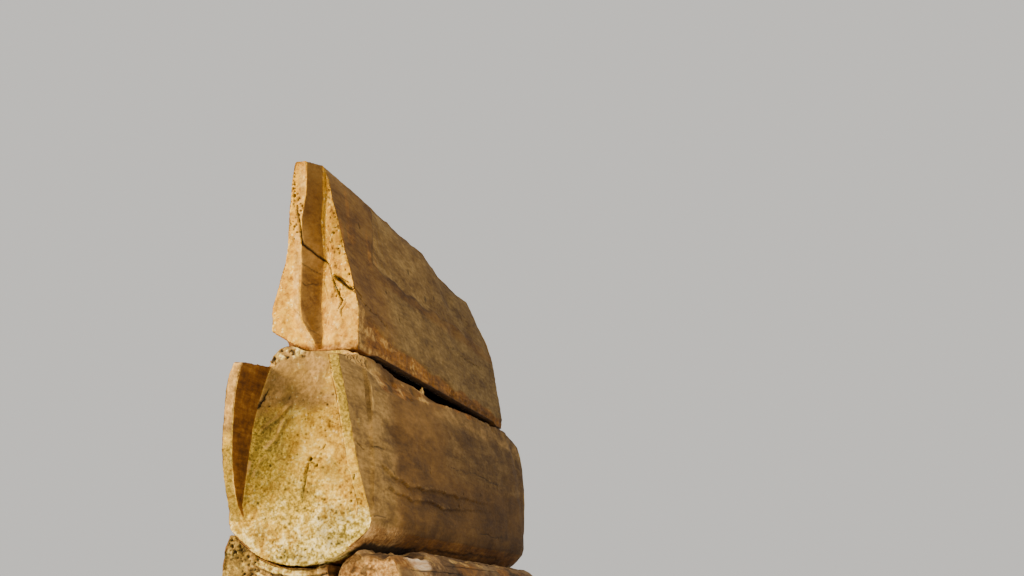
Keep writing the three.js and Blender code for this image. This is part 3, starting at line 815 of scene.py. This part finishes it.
def find_lid_zones(c):
    """Which part of the lid each point is on, and where its gable's groove runs"""
    x, y, z = c.at.T
    nx, ny, nz = c.normal.T
    ahead = c.at + c.normal * LOOK_AHEAD
    hollow_wall = np.interp(ahead[:, 2], HOLLOW_HEIGHTS, HOLLOW_WIDTHS)
    cavity = (abs(ahead[:, 0]) < hollow_wall) & (abs(ahead[:, 1]) < HOLLOW_END)
    c.cavity = cavity.astype(np.float32)
    c.end = (abs(y) > GABLE_START) * smooth(0.3, 0.55, abs(ny)) * (1 - c.cavity)
    c.front = c.end * (y < 0)
    c.rear = c.end * (y > 0)
    c.right = smooth(0.4, 0.7, nx) * (1 - c.cavity) * (1 - c.end) * (x > 0)
    c.left = smooth(0.4, 0.7, -nx) * (1 - c.cavity) * (1 - c.end) * (x < 0)
    c.sides = np.clip(c.left + c.right, 0, 1)
    c.wall_edge = np.interp(z, GROOVE_HEIGHTS, GROOVE_LEFT)
    c.deepest = np.interp(z, GROOVE_HEIGHTS, GROOVE_DEEPEST)
    c.groove_wall = c.front * smooth(c.wall_edge - 2, c.wall_edge + 4, x)
    c.groove_wall *= smooth(c.deepest + 4, c.deepest - 4, x) * (z > 748)
    c.end_grain = c.end * (1 - c.groove_wall)


def wear_lid(c):
    """The groove's run down to the rim, and weathering all over"""
    x, y, z = c.at.T
    left_half = smooth(c.wall_edge, c.deepest, x)
    right_half = smooth(GROOVE_RIGHT, c.deepest, x)
    across = np.where(x < c.deepest, left_half, right_half)
    c.depth += c.front * across * np.interp(z, (737, 750, 780, 815, 858, 900), (3, 8, 18, 28, 16, 0))
    c.mask(end=c.end_grain)
    grain = rough(c.at, 60, 12, 3, (1, 7, 1))
    grit = rough(c.at, 11, 32, 2)
    c.depth += 1.2 + 1.2 * grain + 0.45 * grit
    c.depth += c.end_grain * (2.0 * rough(c.at, 30, 22) + 0.9 * abs(grit) + 0.5)
    c.depth += c.edge * (2.5 + 4 * np.clip(noise(c.at, 30, 52) + 0.3, 0, 1))
    c.depth += c.edge * smooth(-880, -960, y) * 4 * smooth(0, 0.45, noise(c.at, 15, 53))
    c.depth += c.end_grain * 1.5 * flaked(c.at, 30, 94)


def wear_lid_slopes(c):
    """The eroded grey field above its crease at the right, and streaks, bowls and cracks"""
    x, y, z = c.at.T
    right = c.right
    waver = 11 * rough(c.at, 64, 62, 3, (1, 2, 1))
    above_crease = z - np.interp(y, *zip(*CREASE)) + waver
    past_start = y - np.interp(z, *zip(*FIELD_START)) + waver
    field = smooth(-4, 10, past_start) * smooth(-5, 14, above_crease)
    c.depth += right * field * 7
    # Painted shade along the field's outline, where its step faces away from the light
    outline = hill(past_start, 0, 12) * (z > 1115) + hill(above_crease, 0, 7) * (y > -730) * (y < 250)
    c.mask(dark=right * outline * 0.42, silver=right * field * 0.62)
    c.mask(silver=right * smooth(-800, -500, y) * smooth(1090, 1040, z) * 0.8)
    c.mask(stain_and_shade=right * (1 - field) * smooth(1000, 1100, z) * 0.12)
    drips = smooth(0.05, 0.5, rough(c.at, 34, 64, 3, (1.2, 1.2, 9)))
    c.mask(rust=right * drips * smooth(-560, -760, y) * smooth(1000, 1120, z) * 0.45)
    # Painted shade: the slope darkens towards the rear
    c.mask(stain_and_shade=right * smooth(-300, 600, y) * 0.3)
    flutes = noise(c.at, 16, 72, (1, 1, 8))
    c.depth += right * field * smooth(-480, -640, y) * 1.8 * flutes
    slanted = np.stack([x, y * 0.82 + z * 0.57, (z - y * 0.12) * 3], 1)
    c.depth += right * 1.2 * rough(slanted, 60, 82)
    c.pit(right, y, z, SLOPE_PITS, 0.6)
    for centre, reach, deep in SLOPE_BOWLS:
        bowl = hill(y, centre[0], reach[0]) * hill(z, centre[1], reach[1])
        c.depth += right * bowl * deep
        # Painted shade in each bowl
        c.mask(stain_and_shade=right * bowl * 0.25)
    c.cuts(right, y, z, RIGHT_SLOPE_CRACKS)
    c.cuts(c.left, y, z, LEFT_SLOPE_CRACKS)


def wear_lid_rim(c):
    """The rim: rough and orange-brown, with gnarls, and nibbled along its lower edge"""
    x, y, z = c.at.T
    rim_top = 868 - 52 * smooth(-1040, -560, y) - 26 * smooth(-400, 700, y)
    rim = c.sides * smooth(rim_top + 16, rim_top - 8, z + 16 * noise(c.at, 60, 98, (1, 2, 1)))
    gnarl = np.zeros(len(x), np.float32)
    for k, (place, height) in enumerate(GNARLS):
        away = np.hypot((y - place) / 1.6, z - height) + 6 * noise(c.at, 30, 130 + k)
        gnarl += np.sin(away / 3.6) * hill(away, 0, 34)
    c.depth += rim * (4.5 * rough(c.at, 56, 92, 3, (1, 3, 1)) + 2.4 * gnarl + 3.5)
    nibbled = rough(c.at, 48, 96, 3, (1, 1.6, 1))
    c.depth += c.sides * smooth(790, 752, z) * np.clip(9 * nibbled, 0, 13)
    c.mask(rust=rim * (0.36 + 0.26 * smooth(-1020, -880, y)))
    c.mask(pale=rim * smooth(790, 755, z) * smooth(-200, -900, y) * 0.4)
    pale_patches = smooth(0.15, 0.5, rough(c.at, 50, 97, 3, (1, 3, 1)))
    c.mask(pale=rim * pale_patches * smooth(300, -600, y) * 0.45)
    # Painted light: the side is paler near the gable's rounded corner, darkening away from it
    c.mask(pale=c.right * smooth(-920, -1010, y) * smooth(960, 860, z) * 0.45)
    c.mask(dark=rim * smooth(0.55, 0.85, noise(c.at, 26, 102, (1, 4, 1))) * 0.35)
    # A stain on the rim, and painted shade that grows towards the rear
    c.mask(stain_and_shade=rim * (0.12 + smooth(-300, 500, y) * 0.33))


def wear_lid_gable(c):
    """Bands with worm holes on both sides of the smooth groove, and the long crack across it"""
    x, y, z = c.at.T
    nx, ny, nz = c.normal.T
    front = c.front
    bands = front * (1 - c.groove_wall)
    holes = np.random.default_rng(5)
    spots = []
    for lowest, highest, count, side in WORMS:
        for _ in range(count):
            height = holes.uniform(lowest, highest)
            edge = np.interp(height, (815, 900, 1083, 1209, 1290, 1400), (165, 150, 113, 93, 75, 50))
            inner = np.interp(height, (900, 1083, 1209, 1290, 1400), (30, 32, 36, 52, 60))
            reach = (inner, edge - 4) if side > 0 else (inner - 8, edge - 2)
            across = side * holes.uniform(*reach)
            spots.append((across, height, holes.uniform(2.5, 6), holes.uniform(5, 13)))
    c.pit(bands, x, z, spots + list(LARGE_WORMS), 0.8)
    c.cuts(front, x, z, GABLE_CRACKS)
    broken = front * hill(x, 92, 40) * hill(z, 968, 44)
    c.depth += broken * np.clip(8 + 10 * rough(c.at, 20, 142, 2), 0, 22)
    # Dark patches in the broken wood, painted as the shade of its holes
    c.mask(dark=broken * smooth(0.0, 0.5, rough(c.at, 13, 152, 2)) * 0.75)
    c.mask(crust=broken * smooth(-0.1, -0.5, rough(c.at, 16, 153, 2)) * 0.8)
    c.cuts(front, x, z, BROKEN_CRACKS)
    c.cut(c.right, y, z, ((-1060, 962), (-1030, 948), (-985, 938)), 9, 14, 1.0, 2)
    c.cut(front, x, z, ((120, 925), (121, 850), (119, 775)), 9, 3, 0.0, 3)

    # Painted shade on the groove's wall, more of it towards the top
    c.mask(stain_and_shade=c.groove_wall * (0.1 + smooth(1120, 1300, z) * 0.3))
    # Painted shade on front faces that turn to the left, as the groove's right wall does
    c.mask(stain_and_shade=front * smooth(-0.2, -0.5, nx) * (x > 0) * 0.3)
    c.mask(crust=bands * smooth(0.2, -0.6, rough(c.at, 45, 22)) * 0.25)
    # Painted shade on the upper part of the right band
    c.mask(stain_and_shade=bands * (x > 12) * smooth(990, 1160, z) * 0.5)
    beside_groove = smooth(c.wall_edge - 34, c.wall_edge - 26, x)
    beside_groove *= smooth(c.wall_edge, c.wall_edge - 6, x)
    c.mask(pale=bands * beside_groove * 0.5)
    # Painted light on the lower part of the right band
    c.mask(pale=bands * (x > 12) * smooth(990, 900, z) * 0.4)
    c.depth -= bands * beside_groove * 3 * smooth(1080, 1000, z)
    c.mask(stain_and_shade=bands * smooth(-60, -110, x) * 0.12)

    # The rusty lip, painted shade on the underside between the seats and in the hollow, adze marks in the
    # hollow, and the rear
    lip = c.front * smooth(790, 745, z) + smooth(-0.4, -0.7, nz) * (z < 860) * (1 - c.cavity)
    c.mask(rust=np.clip(lip, 0, 1) * 0.75)
    # Painted shade, near black, on the underside between the seats, and painted shade in the hollow
    underside = smooth(-0.5, -0.8, nz) * (z < 770) * (1 - c.cavity)
    c.mask(dark=underside * smooth(-940, -880, y) * 0.95, stain_and_shade=c.cavity * 0.8)
    c.depth += c.cavity * 3 * abs(noise(c.at, 55, 122, (1, 2.4, 1)))
    c.cut(c.rear, x, z, ((20, 1150), (0, 1050), (14, 900)), 6, 10, 0.8, 5)
    c.mask(moss=c.rear * 0.4)


def carve_lid():
    c = Carving("lid_wood", "lid", HEWN_VOXEL, 4)
    find_lid_zones(c)
    wear_lid(c)
    wear_lid_slopes(c)
    wear_lid_rim(c)
    wear_lid_gable(c)
    x, y, z = c.at.T

    # Ridge: worn and notched
    ridge = smooth(0.3, 0.8, c.normal[:, 2]) * (z > 1150)
    c.depth += ridge * np.clip(4 + 5 * rough(c.at, 55, 162, 3, (1, 2, 1)), 0, 14)
    c.mask(pale=ridge * 0.3 + c.edge * c.sides * smooth(1150, 1250, z) * 0.35)

    # Between its two seats the rim is worn away upwards
    between_seats = smooth(-930, -820, y) * smooth(930, 880, y)
    c.at[:, 2] += RIM_RISE * between_seats * smooth(785, 745, z)

    seen = np.clip(smooth(-900, -1000, y) + c.right * 0.6, 0, 1) * (1 - 0.9 * c.cavity)
    c.done(seen, HEWN_FACES, "lid_wood", "lid")


# The two logs below

LOG_VOXEL = 4.5
LOG_FACES = 110000

LAYER_CENTRE = 310
CRADLE_PITS = ((-254, 71, 9, 22), (-220, 58, 7, 18))
SMALL_CRADLE_PITS = 130

SIDE_LOG_X = 238
SIDE_LOG_Z = -50
SKIN_PER_DEGREE = 2.1
SINK = 27
# Long cracks in the side log's skin as (degrees round it, start, end, seed)
SKIN_CRACKS = ((20, -1090, -300, 1), (38, -560, 400, 2), (62, -500, 700, 3), (5, -900, 300, 4))


def carve_cradle_log():
    c = Carving("cradle_wood", "cradle_log", LOG_VOXEL, 6)
    x, y, z = c.at.T
    end = smooth(0.45, 0.7, abs(c.normal[:, 1]))
    front = end * (y < 0)

    # Layers in the front end that follow the belly, and rot full of holes at its left
    away = np.hypot(x, z - LAYER_CENTRE) - LAYER_CENTRE
    waver = 5 * rough(c.at, 60, 13, 2) + 1.5 * noise(c.at, 12, 14)
    layer = np.sin((away + waver) / 2.3) * 0.5 + np.sin((away + waver) / 5.3 + 1) * 0.5
    left_part = smooth(-120, -210, x)
    c.depth += 2 + end * (4.5 * layer + 4) * (1 - 0.7 * left_part)
    c.depth += 3.5 * rough(c.at, 36, 23, 3, (1, 2.5, 1)) * (1 - end * 0.5) + 2
    c.depth += end * np.clip(10 * rough(c.at, 26, 33), -2, 16)
    # End grain, with painted shade in the grooves between the layers
    c.mask(end=end, dark=end * smooth(0.0, 0.5, layer) * (1 - 0.7 * left_part) * 0.95)
    c.mask(crust=end * smooth(0.1, -0.4, layer) * smooth(-200, -140, x) * smooth(60, 0, x))
    holes = np.random.default_rng(9)
    spots = list(CRADLE_PITS)
    for _ in range(SMALL_CRADLE_PITS):
        place = (holes.uniform(-285, -120), holes.uniform(-140, 105))
        spots.append((*place, holes.uniform(3, 7), holes.uniform(6, 16)))
    c.pit(front, x, z, spots, 0.95)

    # The front end is darker at its left, more so lower down, and somewhat darker at its right
    left_darkening = left_part * (0.45 + 0.25 * smooth(-20, -90, z))
    c.mask(stain_and_shade=front * np.maximum(left_darkening, smooth(50, 100, x) * 0.35), moss=front * left_part * 0.5)
    c.mask(ash=end * smooth(40, 110, x), rust=end * smooth(20, 100, x) * 0.5 + (1 - end) * 0.45)
    c.mask(crust=end * smooth(110, 60, z) * smooth(-200, -265, x) * 0.3)
    c.mask(dark=(1 - end) * smooth(0.45, 0.8, noise(c.at, 34, 43, (1, 5, 1))) * 0.8)
    # Painted shade: the log darkens towards the rear, under the chest
    c.mask(stain_and_shade=smooth(-200, 500, y) * 0.3)
    c.done(smooth(-900, -1040, y), LOG_FACES, "log_wood", "base")


def carve_side_log():
    c = Carving("side_wood", "side_log", LOG_VOXEL, 6)
    x, y, z = c.at.T
    nx, ny, nz = c.normal.T
    end = smooth(0.45, 0.7, abs(ny))
    c.depth += 3 + 2.5 * rough(c.at, 50, 15, 3, (1, 5, 1)) + 1.2 * rough(c.at, 14, 25, 2, (1, 3, 1))
    around = np.degrees(np.arctan2(z - SIDE_LOG_Z, x - SIDE_LOG_X))
    skin = (1 - end) * smooth(0.2, 0.5, nz + 0.4 * nx)

    # The front end tapers, and below the belly the log's top is worn down
    hidden = smooth(185, 215, x) * smooth(325, 290, x) * smooth(-600, -760, y)
    sunk = SINK * smooth(10, 62, z) * hidden
    # Painted shade on the sunken top, in the hollow under the belly
    c.mask(stain_and_shade=smooth(36, 56, z) * smooth(232, 244, x) * smooth(306, 294, x) * hidden * 0.6)
    tip = np.clip((-1010 - y) / 80, 0, 1) ** 2 * 0.1
    c.at[:, 0] = SIDE_LOG_X + (x - SIDE_LOG_X) * (1 - tip)
    lowered = sunk + 5 * smooth(20, 60, z) * noise(c.at, 30, 47)
    c.at[:, 2] = SIDE_LOG_Z + (z - SIDE_LOG_Z) * (1 - tip) - lowered

    # Skin: a freshly worn patch, long cracks, pale streaks and rust
    worn = hill(y, -820, 120) * hill(around, 42, 22)
    c.depth += worn * np.clip(5 + 5 * rough(c.at, 34, 35, 2, (1, 2, 1)), 0, 12)
    # The worn patch is pale wood, painted bright enough to also stand in for light where the chest shades it
    c.mask(fresh=worn * 1.3)
    for angle, start, stop, seed in SKIN_CRACKS:
        line = ((angle * SKIN_PER_DEGREE, start / 4), ((angle + 4) * SKIN_PER_DEGREE, stop / 4))
        c.cut(skin, around * SKIN_PER_DEGREE, y / 4, line, 4.5, 8, 0.95, 3, seed)
    c.mask(ash=skin * smooth(-250, -700, y) * (0.5 + 0.5 * noise(c.at, 60, 45, (1, 2, 1))))
    c.mask(pale=skin * smooth(0.2, 0.6, noise(c.at, 26, 55, (1, 4, 1))) * 0.6)
    c.mask(dark=skin * smooth(0.45, 0.75, noise(c.at, 30, 65, (1, 4, 1))) * 0.7 * (1 - worn))
    c.mask(rust=skin * smooth(-0.2, 0.6, noise(c.at, 90, 75, (1, 2, 1))) * 0.6)
    c.mask(stain_and_shade=skin * smooth(40, 10, z) * 0.25 * (1 - worn))

    # Ends: rings, and a crumbled edge at the front
    c.mask(end=end, ash=end * (0.75 + 0.5 * noise(c.at, 40, 86)))
    c.mask(stain_and_shade=end * smooth(240, 185, x) * smooth(-50, 10, z) * 0.4)
    c.mask(crust=end * smooth(0.3, 0.6, noise(c.at, 20, 87)) * 0.8)
    ring = np.sin((np.hypot(x - SIDE_LOG_X, z - SIDE_LOG_Z) + 6 * noise(c.at, 40, 85)) / 2.6)
    c.depth += end * (0.7 * ring + np.clip(7 * rough(c.at, 34, 88), -2, 12) + 3)
    c.depth += c.edge * (y < -1000) * (7 + 6 * noise(c.at, 28, 89))
    c.mask(dark=end * smooth(0.5, 0.95, ring) * 0.15)
    c.mask(dark=end * smooth(0.5, 0.8, rough(c.at, 20, 90, 2)) * 0.7)
    keep = np.clip(smooth(-300, -700, y) * skin + smooth(-1000, -1080, y), 0, 1)
    c.done(keep, LOG_FACES, "log_wood", "base")


# The chip of wood in the gap between the right wall and the lid

CHIP_VOXEL = 1.5
CHIP_FACES = 6000


def carve_chip():
    """It tapers upwards and its top slants"""
    c = Carving("chip_wood", "gap_chip", CHIP_VOXEL, 6)
    x, y, z = c.at.T
    middle = (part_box("gap_chip")[0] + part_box("gap_chip")[1]) / 2 * MM_PER_M
    taper = smooth(735, 702, z)
    c.at[:, 1] = middle.y + (y - middle.y) * (0.75 + 0.25 * taper)
    c.at[:, 0] = middle.x + (x - middle.x) * (0.6 + 0.4 * taper)
    c.at[:, 2] = z - (9 + 0.8 * (middle.x + 8 - x)) * smooth(702, 737, z)
    c.depth += np.clip(1.5 + 2.2 * rough(c.at, 9, 16, 2, (1, 1, 3)), 0, 5)
    c.mask(pale=np.full(len(x), 0.8))
    c.done(np.ones(len(x)), CHIP_FACES, "chip_wood", "base")


# Camera, light and floor

LENS_FOCUS = 1300.0
FRAME_WIDTH = 1024.0
SENSOR = 36.0
CAMERA_PLACE = (1.69898, -5.21440, 0.02057)
CAMERA_PITCH = math.radians(13.994755)
CAMERA_YAW = math.radians(13.352336)
CAMERA_REACH = 200

SKY_COLOUR = (0.94, 0.91, 0.86, 1)
SKY_STRENGTH = 0.8
# Each lamp as (name, place, aim, size, power, colour)
LAMPS = (
    ("key", (-5.0, -4.6, 3.2), (0, -0.6, 0.8), 2.4, 1200, (1.0, 0.82, 0.5)),
    ("fill", (3.2, -4.8, 1.3), (0.2, -0.8, 0.6), 2.6, 100, (1.0, 0.86, 0.62)),
)
FLOOR_REACH = 14.0
FLOOR_CORNERS = ((-1, -1), (1, -1), (1, 1), (-1, 1))


def set_camera():
    heading = Vector((-math.sin(CAMERA_YAW), math.cos(CAMERA_YAW), 0))
    right = Vector((math.cos(CAMERA_YAW), math.sin(CAMERA_YAW), 0))
    forward = heading * math.cos(CAMERA_PITCH) + Vector((0, 0, math.sin(CAMERA_PITCH)))
    turn = Matrix((right, right.cross(forward), -forward)).transposed()
    data = bpy.data.cameras.new("camera")
    data.sensor_width = SENSOR
    data.lens = LENS_FOCUS * SENSOR / FRAME_WIDTH
    data.clip_end = CAMERA_REACH
    camera = bpy.data.objects.new("camera", data)
    camera.matrix_world = Matrix.Translation(CAMERA_PLACE) @ turn.to_4x4()
    bpy.context.scene.collection.objects.link(camera)
    bpy.context.scene.camera = camera


def set_lamp(name, place, aim, size, power, colour):
    data = bpy.data.lights.new(name, "AREA")
    data.shape = "DISK"
    data.size = size
    data.energy = power
    data.color = colour
    lamp = bpy.data.objects.new(name, data)
    lamp.location = place
    lamp.rotation_euler = (Vector(aim) - Vector(place)).to_track_quat("-Z", "Y").to_euler()
    bpy.context.scene.collection.objects.link(lamp)


def set_studio():
    world = bpy.data.worlds.new("studio")
    world.use_nodes = True
    sky = world.node_tree.nodes["Background"]
    sky.inputs["Color"].default_value = SKY_COLOUR
    sky.inputs["Strength"].default_value = SKY_STRENGTH
    bpy.context.scene.world = world
    for lamp in LAMPS:
        set_lamp(*lamp)
    mesh = bpy.data.meshes.new("floor")
    mesh.from_pydata([(a * FLOOR_REACH, b * FLOOR_REACH, 0) for a, b in FLOOR_CORNERS], [], [(0, 1, 2, 3)])
    floor = bpy.data.objects.new("floor", mesh)
    p = Paint("floor")
    shade = p.mix(p.noise(p.place, 2.0), "dcd8d0", "e2dfd8")
    mesh.materials.append(p.finish(shade, 0.9, p.bump(p.noise(p.place, 60.0), 0.001, 0.1)))
    bpy.context.scene.collection.objects.link(floor)


carve_chest()
carve_lid()
carve_cradle_log()
carve_side_log()
carve_chip()
set_camera()
set_studio()
